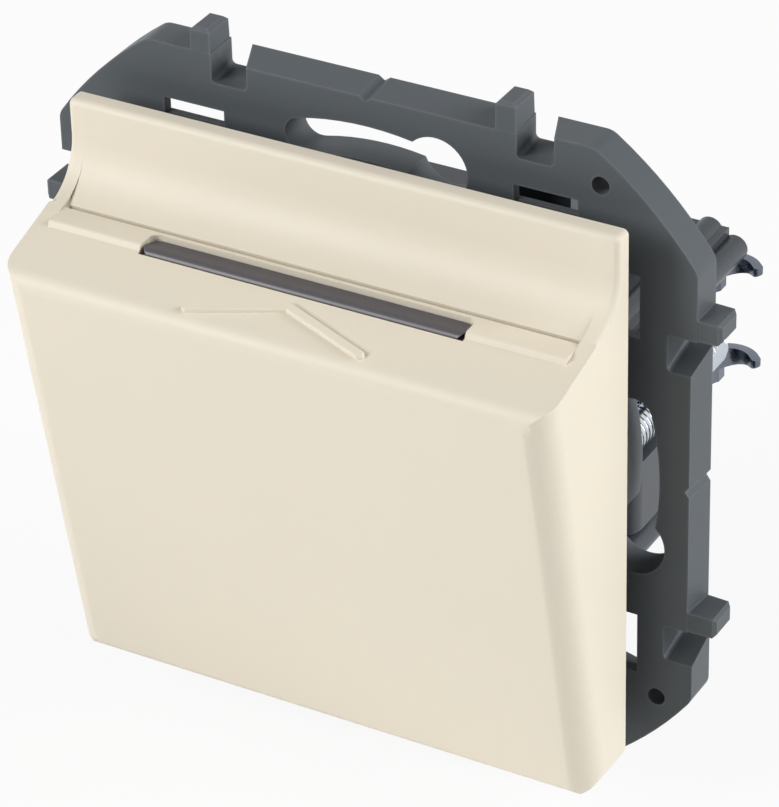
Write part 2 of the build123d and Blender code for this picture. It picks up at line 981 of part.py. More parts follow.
with BuildPart() as rear_cover:
    add(rounded_block(housing_half_width, (housing_split, rear_depth), rear_half_height, rear_round))
    chamfer(rear_cover.faces().sort_by(Axis.Y)[-1].edges(), rear_chamfer)
    add(cover_wings)
    for side in (-1, 1):
        block(
            span(side, strip_inner + channel_play, strip_outer - channel_play),
            (strip_y + strip_thickness, housing_split),
            (well_half[1] + channel_play - terminal_z, terminal_z - well_half[1] - channel_play),
        )
        for level in (-1, 1):
            x = side * terminal_x
            z = level * terminal_z
            block(
                (x - well_half[0], x + well_half[0]),
                (housing_split, well_rear),
                (z - well_half[1], z + well_half[1]),
                Mode.SUBTRACT,
            )
            bar(
                (x, housing_split, z),
                rearward,
                rear_depth - housing_split,
                screw_head_radius + seat_clearance,
                Mode.SUBTRACT,
            )
save(rear_cover, "rear_cover")

# Card lever: the card pushes its nose back, so the arm behind the pivot lifts the contact slider.


arm_tip = (pivot_y + lever_arm, arm_tip_z)
front_arm = tapered_arm(lever_pivot, lever_hub, lever_nose, nose_radius)
rear_arm = tapered_arm(lever_pivot, lever_hub, arm_tip, arm_tip_radius)

with BuildPart() as card_lever:
    with BuildSketch(Plane.YZ.offset(-lever_width / 2)):
        add(front_arm)
        add(rear_arm)
    extrude(amount=lever_width)
    bar(
        (-lever_width / 2, pivot_y, pivot_z),
        (1, 0, 0),
        lever_width,
        pin_radius + shaft_clearance,
        Mode.SUBTRACT,
    )
save(card_lever, "card_lever")

with BuildPart() as lever_pin:
    bar((-pin_reach, pivot_y, pivot_z), (1, 0, 0), 2 * pin_reach, pin_radius)
save(lever_pin, "lever_pin")

# Contact slider with its bridge and spring: lifting it towards the fixed contacts closes the switch.

shelf_low = arm_tip_z + arm_tip_radius + arm_play

with BuildPart() as contact_slider:
    block(
        (-slider_half_width, slider_half_width),
        (slider_front, slider_rear),
        (slider_low, bridge_low),
    )
    block(
        (-shelf_half_width, shelf_half_width),
        (shelf_front, slider_front),
        (shelf_low, shelf_low + shelf_thickness),
    )
    block(
        (-spring_radius, spring_radius),
        (contact_y - bridge_half_depth, contact_y + bridge_half_depth),
        (shelf_low + shelf_thickness, bridge_low),
    )
save(contact_slider, "contact_slider")

with BuildPart() as contact_bridge:
    block(
        (-bridge_half_width, bridge_half_width),
        (contact_y - bridge_half_depth, contact_y + bridge_half_depth),
        (bridge_low, bridge_top),
    )
    fillet(contact_bridge.edges().filter_by(Axis.Z), bridge_thickness)
save(contact_bridge, "contact_bridge")

coil_height = chamber_half_height - bridge_top - 2 * spring_wire
coil = Helix(
    coil_height / spring_turns,
    coil_height,
    spring_radius - spring_wire,
    center=(0, contact_y, bridge_top + spring_wire),
)

with BuildPart() as contact_spring:
    with BuildSketch(Plane(origin=coil @ 0, z_dir=coil % 0)):
        RegularPolygon(spring_wire, 6)
    sweep(path=coil, is_frenet=True)
save(contact_spring, "contact_spring")

# Fixed contacts: a strip along each side of the chamber, with a finger and rivet over the bridge.
# Each strip runs through the cages of two terminals.

for name, side in sides.items():
    with BuildPart() as strip:
        block(
            span(side, strip_inner, strip_outer),
            (strip_y, strip_y + strip_thickness),
            (-strip_half_height, strip_half_height),
        )
        block(
            span(side, finger_inner, strip_inner),
            (strip_y, strip_y + strip_thickness),
            (-finger_root_half, finger_root_half),
        )
        block(
            span(side, finger_inner, finger_outer),
            (strip_y, strip_y + strip_thickness),
            (-finger_root_half, finger_top),
        )
        block(
            span(side, finger_inner, finger_outer),
            (finger_front, strip_y),
            (finger_low, finger_top),
        )
        bar(
            (side * contact_x, contact_y, finger_low - rivet_height),
            (0, 0, 1),
            rivet_height,
            rivet_radius,
        )
    save(strip, f"contact_strip_{name}")

# Terminals: turning the screw draws its cage rearward, so a wire is clamped against the strip.

terminal_screw = screw_form(
    screw_head_radius,
    screw_head_length,
    screw_radius,
    screw_head_y - screw_tip,
)

with BuildPart() as cage_form:
    with Locations((0, cage_front + cage_length / 2, 0)):
        Box(cage_width, cage_length, cage_depth)
        Box(
            cage_width - 2 * cage_wall,
            cage_length - 2 * cage_wall,
            cage_depth,
            mode=Mode.SUBTRACT,
        )
    corners = [
        (side * cage_half[0], y, 0) for side in (-1, 1) for y in (cage_front, cage_rear)
    ]
    upright = cage_form.edges().filter_by(Axis.Z)
    fillet([upright.sort_by_distance(corner)[0] for corner in corners], cage_wall)
    bar(
        (0, cage_rear - cage_wall, 0),
        rearward,
        cage_wall,
        screw_radius + shaft_clearance,
        Mode.SUBTRACT,
    )

for level_name, level in levels.items():
    for side_name, side in sides.items():
        place = (side * terminal_x, 0, level * terminal_z)
        with BuildPart() as cage:
            add(Pos(*place) * cage_form.part)
        save(cage, f"terminal_cage_{level_name}_{side_name}")
        with BuildPart() as screw:
            head = Plane(origin=(place[0], screw_head_y, place[2]), z_dir=forward)
            add(head * terminal_screw)
        save(screw, f"terminal_screw_{level_name}_{side_name}")

# Claws: turning each claw screw draws its nut forward along the claw's ramp and swings the claw
# outward against the wall box.

claw_root_x = housing_half_width + claw_root_offset
ramp_end_x = claw_root_x + claw_ramp_rise
hook_middle = (ramp_end_x + hook_radius, prong_bend_y)
nut_inner = housing_half_width + nut_inner_offset
nut_bar_outer = ramp_end_x - claw_sheet / 2 - nut_play
nut_outer = claw_screw_x + nut_margin

with BuildPart() as claw_form:
    with BuildSketch() as claw_section:
        with BuildLine():
            Polyline(
                (claw_root_x, claw_web[0]),
                (claw_root_x, claw_ramp[0]),
                (ramp_end_x, claw_ramp[1]),
                (ramp_end_x, prong_bend_y),
            )
            hook = CenterArc(hook_middle, hook_radius, 180, -hook_bend)
            Line(hook @ 1, hook @ 1 + (hook % 1) * hook_nose)
            offset(amount=claw_sheet / 2)
        make_face()
    extrude(amount=prong_outer, both=True)
    for level in (-1, 1):
        bar(
            (pivot_x, claw_pivot_y, level * prong_inner),
            (0, 0, level),
            prong_outer - prong_inner,
            claw_hub,
        )
        block(
            (claw_root_x - claw_sheet / 2, claw_root_x + claw_sheet / 2),
            (claw_pivot_y, claw_web[0]),
            span(level, prong_inner, prong_outer),
        )
    block(
        (0, wing_reach * 2),
        (claw_web[1], wing_end * 2),
        (-prong_inner, prong_inner),
        Mode.SUBTRACT,
    )
    for foot in (-prong_outer, prong_inner):
        with BuildSketch(front_plane(prong_bend_y - hook_radius)):
            with BuildLine():
                Polyline(
                    (ramp_end_x + claw_sheet, foot - cut_past),
                    (ramp_end_x + claw_sheet, foot + hook_step),
                    (ramp_end_x + hook_width, foot + hook_step + hook_taper - claw_sheet),
                    (ramp_end_x + hook_width, foot - cut_past),
                    close=True,
                )
            make_face()
        extrude(amount=-wing_end, mode=Mode.SUBTRACT)
    bar(
        (pivot_x, claw_pivot_y, -prong_outer),
        (0, 0, 1),
        2 * prong_outer,
        claw_pin_radius + shaft_clearance,
        Mode.SUBTRACT,
    )

with BuildPart() as nut_form:
    nut_depths = (nut_rest_y, nut_rest_y + nut_length)
    block((nut_inner, nut_outer), nut_depths, (-nut_half_height, nut_half_height))
    fillet(nut_form.edges().filter_by(Axis.Y).sort_by(Axis.X)[-2:], claw_hub / 2)
    block(
        (nut_inner, nut_bar_outer),
        nut_depths,
        (-nut_bar_half_height, nut_bar_half_height),
    )
    bar(
        (claw_screw_x, nut_rest_y, 0),
        rearward,
        nut_length,
        claw_screw_radius + shaft_clearance,
        Mode.SUBTRACT,
    )

claw_screw_form = screw_form(
    claw_head_radius,
    claw_head_length,
    claw_screw_radius,
    claw_screw_end - frame_front,
)

for name, side in sides.items():
    half_turn = 90 - 90 * side
    with BuildPart() as claw:
        add(claw_form.part.rotate(Axis.Y, half_turn))
    save(claw, f"claw_{name}")
    with BuildPart() as nut:
        add(nut_form.part.rotate(Axis.Y, half_turn))
    save(nut, f"claw_nut_{name}")
    with BuildPart() as screw:
        head = Plane(origin=(side * claw_screw_x, frame_front, 0), z_dir=rearward)
        add(head * claw_screw_form)
    save(screw, f"claw_screw_{name}")
    with BuildPart() as pin:
        bar(
            (side * pivot_x, claw_pivot_y, -claw_pin_reach),
            (0, 0, 1),
            2 * claw_pin_reach,
            claw_pin_radius,
        )
    save(pin, f"claw_pin_{name}")
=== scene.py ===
import math

import bmesh
import bpy
from mathutils import Matrix, Vector


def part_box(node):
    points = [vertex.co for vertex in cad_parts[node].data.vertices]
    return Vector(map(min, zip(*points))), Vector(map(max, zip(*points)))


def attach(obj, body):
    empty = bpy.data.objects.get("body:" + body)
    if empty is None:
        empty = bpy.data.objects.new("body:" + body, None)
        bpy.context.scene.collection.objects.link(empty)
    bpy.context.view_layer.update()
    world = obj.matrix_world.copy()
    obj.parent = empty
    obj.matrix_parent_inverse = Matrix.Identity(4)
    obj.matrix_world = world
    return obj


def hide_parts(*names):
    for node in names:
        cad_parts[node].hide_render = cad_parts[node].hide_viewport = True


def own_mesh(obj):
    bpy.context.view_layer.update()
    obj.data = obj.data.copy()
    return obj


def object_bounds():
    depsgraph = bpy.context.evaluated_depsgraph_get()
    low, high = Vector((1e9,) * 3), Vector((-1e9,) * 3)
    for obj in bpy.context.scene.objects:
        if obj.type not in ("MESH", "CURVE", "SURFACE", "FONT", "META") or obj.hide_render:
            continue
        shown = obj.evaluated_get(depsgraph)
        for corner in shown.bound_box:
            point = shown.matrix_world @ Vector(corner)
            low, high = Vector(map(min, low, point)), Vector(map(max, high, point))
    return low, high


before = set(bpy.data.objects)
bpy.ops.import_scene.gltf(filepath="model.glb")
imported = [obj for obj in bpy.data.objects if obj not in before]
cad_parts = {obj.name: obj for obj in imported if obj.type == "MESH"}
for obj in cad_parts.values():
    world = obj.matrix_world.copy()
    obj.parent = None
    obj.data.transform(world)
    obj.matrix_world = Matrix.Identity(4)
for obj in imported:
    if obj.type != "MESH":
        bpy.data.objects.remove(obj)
cad_box = [list(corner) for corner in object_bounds()]

# Photographer's table: a white sweep under the switch, which hangs in the air with its lowest tabs
# just over the table. The camera looks down on the front from the right, from 437 mm away.

millimetre = 0.001
target = Vector((1.81, -4.0, 0.78)) * millimetre
distance = 436.9 * millimetre
azimuth = math.radians(30.07)
elevation = math.radians(32.27)
roll = math.radians(-1.60)
sensor_width = 36.0
lens_length = 201.6

backward = Vector((
    math.sin(azimuth) * math.cos(elevation),
    -math.cos(azimuth) * math.cos(elevation),
    math.sin(elevation),
))
level_right = Vector((math.cos(azimuth), math.sin(azimuth), 0.0))
level_up = level_right.cross(-backward)
right = math.cos(roll) * level_right + math.sin(roll) * level_up
up = math.cos(roll) * level_up - math.sin(roll) * level_right

camera = bpy.data.objects.new("camera", bpy.data.cameras.new("camera"))
camera.data.sensor_fit = "HORIZONTAL"
camera.data.sensor_width = sensor_width
camera.data.lens = lens_length
camera.data.clip_start = 0.01
camera.data.clip_end = 20.0
camera.matrix_world = Matrix.Translation(target + backward * distance) @ Matrix(
    (right, up, backward)
).transposed().to_4x4()
bpy.context.scene.collection.objects.link(camera)
bpy.context.scene.camera = camera
bpy.context.scene.view_settings.view_transform = "Standard"


def new_material(name):
    """An empty node material, with the means to add and join nodes."""
    material = bpy.data.materials.new(name)
    material.use_nodes = True
    tree = material.node_tree
    tree.nodes.clear()
    return material, tree


def add_node(tree, kind, **settings):
    """A node of the kind, with its own settings."""
    node = tree.nodes.new(kind)
    for key, value in settings.items():
        setattr(node, key, value)
    return node


def seen_directly(tree):
    """One where a camera, mirror or glass ray looks at the surface, and nought for its light."""
    path = add_node(tree, "ShaderNodeLightPath")
    total = path.outputs["Is Camera Ray"]
    for other in ("Is Glossy Ray", "Is Transmission Ray"):
        longer = add_node(tree, "ShaderNodeMath", operation="MAXIMUM")
        tree.links.new(total, longer.inputs[0])
        tree.links.new(path.outputs[other], longer.inputs[1])
        total = longer.outputs[0]
    return total


floor_half = 1.5
floor_drop = 0.0005
floor_white = 0.92
floor_glow = 0.9

floor_mesh = bpy.data.meshes.new("floor")
floor_mesh.from_pydata(
    [(x * floor_half, y * floor_half, cad_box[0][2] - floor_drop)
     for x, y in ((-1, -1), (1, -1), (1, 1), (-1, 1))],
    [],
    [(0, 1, 2, 3)],
)
floor = bpy.data.objects.new("floor", floor_mesh)
bpy.context.scene.collection.objects.link(floor)

floor_material, tree = new_material("white sweep")
paper = add_node(tree, "ShaderNodeBsdfDiffuse")
paper.inputs["Color"].default_value = (floor_white, floor_white, floor_white, 1.0)
glow = add_node(tree, "ShaderNodeEmission")
glow.inputs["Strength"].default_value = 1.0
share = add_node(tree, "ShaderNodeMath", operation="MULTIPLY")
share.inputs[1].default_value = floor_glow
tree.links.new(seen_directly(tree), share.inputs[0])
both = add_node(tree, "ShaderNodeMixShader")
tree.links.new(share.outputs[0], both.inputs[0])
tree.links.new(paper.outputs[0], both.inputs[1])
tree.links.new(glow.outputs[0], both.inputs[2])
sheet = add_node(tree, "ShaderNodeOutputMaterial")
tree.links.new(both.outputs[0], sheet.inputs["Surface"])
floor_mesh.materials.append(floor_material)

# Studio: a dim white tent, with a wide lamp at the upper left of the front and a tall one behind
# the right side. The gap between the two lamps darkens the cover's rounded right edge, and the
# cover shades the frame on its right.

tent_level = 0.13
tent = bpy.data.worlds.new("tent")
tent.use_nodes = True
tree = tent.node_tree
tree.nodes.clear()
dim = add_node(tree, "ShaderNodeBackground")
dim.inputs["Color"].default_value = (1.0, 0.975, 0.93, 1.0)
dim.inputs["Strength"].default_value = tent_level
white = add_node(tree, "ShaderNodeBackground")
white.inputs["Color"].default_value = (1.0, 1.0, 1.0, 1.0)
white.inputs["Strength"].default_value = 1.0
both = add_node(tree, "ShaderNodeMixShader")
tree.links.new(seen_directly(tree), both.inputs[0])
tree.links.new(dim.outputs[0], both.inputs[1])
tree.links.new(white.outputs[0], both.inputs[2])
sky = add_node(tree, "ShaderNodeOutputWorld")
tree.links.new(both.outputs[0], sky.inputs["Surface"])
bpy.context.scene.world = tent

lamps = {
    "front_lamp": ((-0.46, -0.62, 0.42), 0.42, 0.42, 5.95),
    "right_lamp": ((0.80, 0.22, 0.40), 0.40, 0.70, 7.3),
}
for name, (place, width, height, power) in lamps.items():
    light = bpy.data.lights.new(name, "AREA")
    light.shape = "RECTANGLE"
    light.size = width
    light.size_y = height
    light.energy = power
    lamp = bpy.data.objects.new(name, light)
    lamp.location = place
    lamp.rotation_euler = (-Vector(place)).to_track_quat("-Z", "Y").to_euler()
    bpy.context.scene.collection.objects.link(lamp)

# Cover: one thin-walled ivory moulding with a fine die polish, clipped over the mechanism by the
# card pocket's sockets. The scoop runs the full width here, and the slit is drawn 0.575 mm wide
# against 0.85 mm in the solid, so a 0.76 mm card would fit the solid's slit alone.


def new_group(name, inputs, outputs):
    """A shader node group with the named sockets, and its inner input and output nodes."""
    group = bpy.data.node_groups.new(name, "ShaderNodeTree")
    for label, kind, value in inputs:
        socket = group.interface.new_socket(label, in_out="INPUT", socket_type=kind)
        socket.default_value = value
    for label, kind in outputs:
        group.interface.new_socket(label, in_out="OUTPUT", socket_type=kind)
    return group, group.nodes.new("NodeGroupInput"), group.nodes.new("NodeGroupOutput")


def mix_colour(tree, blend_type="MIX"):
    """A colour mix node with its three sockets: factor, first and second colour, and result."""
    node = add_node(tree, "ShaderNodeMix", data_type="RGBA", blend_type=blend_type)
    return node, node.inputs[0], node.inputs[6], node.inputs[7], node.outputs[2]


def moulding_group():
    """Moulded plastic: slow mottling of the colour, uneven polish, a fine grain in relief, and patchy
    paler edges that are partly wear and partly painted highlight.
    """
    group, start, end = new_group(
        "moulded plastic",
        (
            ("Colour", "NodeSocketColor", (0.8, 0.8, 0.8, 1.0)),
            ("Mottle", "NodeSocketFloat", 0.03),
            ("Roughness", "NodeSocketFloat", 0.4),
            ("Grain size", "NodeSocketFloat", 0.0004),
            ("Grain relief", "NodeSocketFloat", 0.1),
            ("Rubbed edge and painted highlight colour", "NodeSocketColor", (1.0, 1.0, 1.0, 1.0)),
            ("Rubbed edge and painted highlight", "NodeSocketFloat", 0.2),
            ("Edge width", "NodeSocketFloat", 0.0003),
        ),
        (
            ("Colour", "NodeSocketColor"),
            ("Roughness", "NodeSocketFloat"),
            ("Normal", "NodeSocketVector"),
        ),
    )
    place = add_node(group, "ShaderNodeTexCoord")
    slow = add_node(group, "ShaderNodeTexNoise")
    slow.inputs["Scale"].default_value = 55.0
    slow.inputs["Detail"].default_value = 3.0
    group.links.new(place.outputs["Object"], slow.inputs["Vector"])
    centred = add_node(group, "ShaderNodeMath", operation="SUBTRACT")
    group.links.new(slow.outputs["Fac"], centred.inputs[0])
    centred.inputs[1].default_value = 0.5
    mottle = add_node(group, "ShaderNodeMath", operation="MULTIPLY_ADD")
    group.links.new(centred.outputs[0], mottle.inputs[0])
    group.links.new(start.outputs["Mottle"], mottle.inputs[1])
    mottle.inputs[2].default_value = 1.0
    tone = add_node(group, "ShaderNodeVectorMath", operation="SCALE")
    group.links.new(start.outputs["Colour"], tone.inputs[0])
    group.links.new(mottle.outputs[0], tone.inputs["Scale"])

    pitch = add_node(group, "ShaderNodeMath", operation="DIVIDE")
    pitch.inputs[0].default_value = 1.0
    group.links.new(start.outputs["Grain size"], pitch.inputs[1])
    grain = add_node(group, "ShaderNodeTexNoise")
    grain.inputs["Detail"].default_value = 2.0
    group.links.new(place.outputs["Object"], grain.inputs["Vector"])
    group.links.new(pitch.outputs[0], grain.inputs["Scale"])
    relief = add_node(group, "ShaderNodeBump")
    relief.inputs["Distance"].default_value = 0.0001
    group.links.new(start.outputs["Grain relief"], relief.inputs["Strength"])
    group.links.new(grain.outputs["Fac"], relief.inputs["Height"])
    group.links.new(relief.outputs["Normal"], end.inputs["Normal"])

    polish = add_node(group, "ShaderNodeMapRange")
    polish.inputs["To Min"].default_value = -0.06
    polish.inputs["To Max"].default_value = 0.06
    group.links.new(slow.outputs["Fac"], polish.inputs["Value"])
    rough = add_node(group, "ShaderNodeMath", operation="ADD")
    group.links.new(polish.outputs[0], rough.inputs[0])
    group.links.new(start.outputs["Roughness"], rough.inputs[1])
    group.links.new(rough.outputs[0], end.inputs["Roughness"])

    # Edge mark: where the bevelled normal leaves the true one, the colour goes in patches towards the
    # paler edge colour, partly wear and partly a painted highlight on rounded edges.
    rounded = add_node(group, "ShaderNodeBevel", samples=4)
    group.links.new(start.outputs["Edge width"], rounded.inputs["Radius"])
    facing = add_node(group, "ShaderNodeNewGeometry")
    together = add_node(group, "ShaderNodeVectorMath", operation="DOT_PRODUCT")
    group.links.new(rounded.outputs["Normal"], together.inputs[0])
    group.links.new(facing.outputs["Normal"], together.inputs[1])
    edge = add_node(group, "ShaderNodeMapRange")
    edge.inputs["From Min"].default_value = 0.995
    edge.inputs["From Max"].default_value = 0.85
    group.links.new(together.outputs["Value"], edge.inputs["Value"])
    patchy = add_node(group, "ShaderNodeMath", operation="MULTIPLY")
    group.links.new(edge.outputs[0], patchy.inputs[0])
    group.links.new(slow.outputs["Fac"], patchy.inputs[1])
    edge_rub_and_highlight = add_node(group, "ShaderNodeMath", operation="MULTIPLY")
    group.links.new(patchy.outputs[0], edge_rub_and_highlight.inputs[0])
    group.links.new(start.outputs["Rubbed edge and painted highlight"], edge_rub_and_highlight.inputs[1])
    node, factor, first, second, result = mix_colour(group)
    group.links.new(edge_rub_and_highlight.outputs[0], factor)
    group.links.new(tone.outputs[0], first)
    group.links.new(start.outputs["Rubbed edge and painted highlight colour"], second)
    group.links.new(result, end.inputs["Colour"])
    return group


moulded_plastic = moulding_group()


def plastic(name, colour, edge_rub_and_highlight, roughness, mottle=0.03, grain=0.0004, relief=0.1, edge_rub_and_highlight_amount=0.2,
            edge=0.0003, coat=0.0, ior=1.46, shine=0.5):
    """A moulded plastic material that uses the group with this piece's own values."""
    material, tree = new_material(name)
    surface = add_node(tree, "ShaderNodeGroup", node_tree=moulded_plastic)
    for label, value in (
        ("Colour", (*colour, 1.0)),
        ("Rubbed edge and painted highlight colour", (*edge_rub_and_highlight, 1.0)),
        ("Roughness", roughness),
        ("Mottle", mottle),
        ("Grain size", grain),
        ("Grain relief", relief),
        ("Rubbed edge and painted highlight", edge_rub_and_highlight_amount),
        ("Edge width", edge),
    ):
        surface.inputs[label].default_value = value
    shader = add_node(tree, "ShaderNodeBsdfPrincipled")
    shader.inputs["IOR"].default_value = ior
    shader.inputs["Specular IOR Level"].default_value = shine
    shader.inputs["Coat Weight"].default_value = coat
    shader.inputs["Coat Roughness"].default_value = 0.12
    tree.links.new(surface.outputs["Colour"], shader.inputs["Base Color"])
    tree.links.new(surface.outputs["Roughness"], shader.inputs["Roughness"])
    tree.links.new(surface.outputs["Normal"], shader.inputs["Normal"])
    finish = add_node(tree, "ShaderNodeOutputMaterial")
    tree.links.new(shader.outputs[0], finish.inputs["Surface"])
    return material


def dress(material, *names, edge=0.0):
    """Gives CAD nodes their material and, where asked, softens their edges."""
    for name in names:
        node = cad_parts[name]
        for holder in node.material_slots:
            holder.material = material
        if edge:
            weld = node.modifiers.new("weld", "WELD")
            weld.merge_threshold = weld_gap
            soften = node.modifiers.new("soften", "BEVEL")
            soften.width = edge
            soften.segments = 2
            soften.limit_method = "ANGLE"
            soften.angle_limit = math.radians(35)
            soften.harden_normals = False
            even = node.modifiers.new("even", "WEIGHTED_NORMAL")
            even.keep_sharp = True


weld_gap = 0.000002
ivory = (0.800, 0.735, 0.610)
ivory_edge_rub_and_highlight = (0.86, 0.82, 0.73)
# The paler ivory goes on the edges in patches, partly wear and partly painted highlight.
ivory_plastic = plastic("ivory moulding", ivory, ivory_edge_rub_and_highlight, 0.5, mottle=0.025, grain=0.00018,
                        relief=0.035, edge_rub_and_highlight_amount=0.15)

scoop_y = -15.6 * millimetre
scoop_z = 26.6 * millimetre
channel_radius = 6.3 * millimetre
cheek_radius = 5.5 * millimetre
lip_round = 0.7 * millimetre
slit_rear = -13.575 * millimetre
slit_lip = -13.85 * millimetre
ledge_top = 20.9 * millimetre
side_round = 0.6 * millimetre
side_corner = math.radians(50)
foot_blend = 4
near = 0.03 * millimetre
slope_angle = math.radians(16.5)
ridge_y = -24.7 * millimetre
ridge_z = 18.15 * millimetre
arrow_half = 10.3 * millimetre
arrow_limit = 0.4 * millimetre
arrow_lift = 0.6
arrow_rows = (0.8 * millimetre, 6.2 * millimetre)
channel_step = channel_radius - cheek_radius
channel_wall = scoop_y + channel_radius


def own_form(node_name):
    """The surface of a CAD node as one joined mesh, free to be worked further."""
    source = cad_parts[node_name].data
    form = bmesh.new()
    corners = [form.verts.new(vertex.co) for vertex in source.vertices]
    for face in source.polygons:
        form.faces.new([corners[index] for index in face.vertices])
    bmesh.ops.remove_doubles(form, verts=form.verts, dist=weld_gap)
    return form


def merge_flats(form, edges):
    """Joins the flat triangles on either side of the edges into whole faces."""
    corners = list({vertex for edge in edges for vertex in edge.verts})
    bmesh.ops.dissolve_limit(form, angle_limit=math.radians(0.5), verts=corners, edges=edges)


def finished_piece(name, form, body, material, sharp=32):
    """An object made of the mesh, smooth but for its sharper edges, riding on its body."""
    mesh = bpy.data.meshes.new(name)
    form.normal_update()
    for face in form.faces:
        face.smooth = True
    for edge in form.edges:
        if len(edge.link_faces) == 2:
            edge.smooth = edge.calc_face_angle() < math.radians(sharp)
    form.to_mesh(mesh)
    form.free()
    mesh.materials.append(material)
    piece = bpy.data.objects.new(name, mesh)
    bpy.context.scene.collection.objects.link(piece)
    even = piece.modifiers.new("even", "WEIGHTED_NORMAL")
    even.keep_sharp = True
    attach(piece, body)
    return piece


cad_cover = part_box("cover_shell")
shell = own_form("cover_shell")
merge_flats(shell, [
    edge for edge in shell.edges if all(vertex.co.y > slit_rear - near for vertex in edge.verts)
])
on_arc = [
    vertex for vertex in shell.verts
    if abs(math.hypot(vertex.co.y - scoop_y, vertex.co.z - scoop_z) - channel_radius) < near
    and vertex.co.y > slit_rear - near
    and vertex.co.z < scoop_z + near
]
channel_half = max(abs(vertex.co.x) for vertex in on_arc)
for vertex in shell.verts:
    x, y, z = vertex.co
    past_wall = y - channel_wall + near
    if z > scoop_z + near and abs(x) < channel_half + near and 0 < past_wall < lip_round + 2 * near:
        vertex.co.y -= channel_step
foot_y = slit_lip - scoop_y
foot_z = ledge_top - scoop_z
foot_angle = math.atan2(-foot_z, foot_y)
for vertex in on_arc:
    angle = math.atan2(scoop_z - vertex.co.z, vertex.co.y - scoop_y)
    share = max(0.0, angle / foot_angle) ** foot_blend
    radius = cheek_radius + (math.hypot(foot_y, foot_z) - cheek_radius) * share
    if abs(vertex.co.y - slit_rear) < near:
        vertex.co.y = slit_lip
        vertex.co.z = ledge_top
    else:
        vertex.co.y = scoop_y + radius * math.cos(angle)
        vertex.co.z = scoop_z - radius * math.sin(angle)
seam = [
    vertex for vertex in shell.verts
    if abs(abs(vertex.co.x) - channel_half) < near and vertex.co.y > slit_rear - near
]
bmesh.ops.remove_doubles(shell, verts=seam, dist=2 * near)
shell.normal_update()
side_edges = [
    edge for edge in shell.edges
    if len(edge.link_faces) == 2
    and edge.calc_face_angle() > side_corner
    and all(
        abs(vertex.co.x) > channel_half + side_round
        and vertex.co.z > scoop_z - cheek_radius
        and vertex.co.y > scoop_y - side_round
        for vertex in edge.verts
    )
    and not all(abs(vertex.co.y - cad_cover[1][1]) < near for vertex in edge.verts)
]
bmesh.ops.bevel(shell, geom=side_edges, offset=side_round, segments=4, profile=0.5, affect="EDGES")
for vertex in shell.verts:
    run = vertex.co.y - ridge_y
    height = (vertex.co.z - ridge_z) * math.cos(slope_angle) - run * math.sin(slope_angle)
    in_arrow = abs(vertex.co.x) < arrow_half and arrow_rows[0] < run < arrow_rows[1]
    if in_arrow and near < height < arrow_limit:
        vertex.co.y -= arrow_lift * height * math.sin(slope_angle)
        vertex.co.z += arrow_lift * height * math.cos(slope_angle)
cover = finished_piece("cover_moulding", shell, "cover", ivory_plastic)
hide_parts("cover_shell")

# Card pocket: the plate inside the cover that the card slides against, moulded in the same ivory
# plastic with a duller finish, and fixed on two stakes.

pocket_plastic = plastic("pocket moulding", (0.77, 0.70, 0.58), ivory_edge_rub_and_highlight, 0.5, relief=0.06)
dress(pocket_plastic, "card_pocket")

# Card light: a bar of smoked clear plastic set in the ledge in front of the slit, with a rounded
# front edge and a small step along its rear half. Its stem goes down to the lamp.

smoke = (0.072, 0.067, 0.076)
# The pale violet-grey edge colour is a painted highlight along the lens's rounded front. The dark smoke
# is the lens's own colour.
smoked_plastic = plastic("smoked lens", smoke, (0.30, 0.29, 0.34), 0.36, mottle=0.12,
                         grain=0.0009, relief=0.03, edge_rub_and_highlight_amount=0.5, edge=0.00025, ior=1.49)
lens_half = 17.8 * millimetre
lens_front = -17.7 * millimetre
lens_rear = -15.1 * millimetre
lens_foot = 19.0 * millimetre
lens_crown = 20.6 * millimetre
lens_round = 0.75 * millimetre
lens_step = -16.4 * millimetre
step_depth = 0.2 * millimetre
lens_corner = 0.9 * millimetre
round_steps = 8

lens_profile = [(lens_front, lens_foot)]
for step in range(round_steps + 1):
    turn = math.pi - math.pi / 2 * step / round_steps
    lens_profile.append((
        lens_front + lens_round + lens_round * math.cos(turn),
        lens_crown - lens_round + lens_round * math.sin(turn),
    ))
lens_profile += [
    (lens_step, lens_crown),
    (lens_step + step_depth, lens_crown - step_depth),
    (lens_rear - lens_corner, lens_crown - step_depth),
    (lens_rear - lens_corner / 4, lens_crown - step_depth),
    (lens_rear, lens_crown - step_depth),
    (lens_rear, lens_foot),
]

lens_form = own_form("light_lens")
rows = []
for y, z in lens_profile:
    edge_gap = min(y - lens_front, lens_rear - y, lens_corner)
    half = lens_half - lens_corner + math.sqrt(lens_corner ** 2 - (lens_corner - edge_gap) ** 2)
    rows.append([lens_form.verts.new((side * half, y, z)) for side in (-1, 1)])
for front_row, rear_row in zip(rows, rows[1:]):
    lens_form.faces.new((front_row[0], front_row[1], rear_row[1], rear_row[0]))
lens_form.faces.new((rows[-1][0], rows[-1][1], rows[0][1], rows[0][0]))
for end in (0, 1):
    lens_form.faces.new([row[end] for row in rows])
bmesh.ops.recalc_face_normals(lens_form, faces=lens_form.faces)
lens = finished_piece("light_bar", lens_form, "cover", smoked_plastic, sharp=25)
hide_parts("light_lens")

# Support frame: a rigid plate of dark grey filled plastic, with a fine eroded texture, rounded edges
# and wide shallow pockets round its windows. It is screwed or clawed to the wall box.

slate = (0.090, 0.103, 0.114)
slate_edge_rub_and_highlight = (0.22, 0.235, 0.26)
# The frame's paler patchy edge colour is partly wear and partly a painted highlight along its rounded
# edges.
frame_plastic = plastic("frame plastic", slate, slate_edge_rub_and_highlight, 0.5, mottle=0.10, grain=0.00035,
                        relief=0.16, edge_rub_and_highlight_amount=0.8, edge=0.0004, shine=0.3)

window_offset = 19.55 * millimetre
pocket_half = 4.25 * millimetre
pocket_wider = 1.3 * millimetre
pocket_span = (22.9 * millimetre, 30.5 * millimetre)
pocket_floor = -2.9 * millimetre
edge_round = 0.3 * millimetre

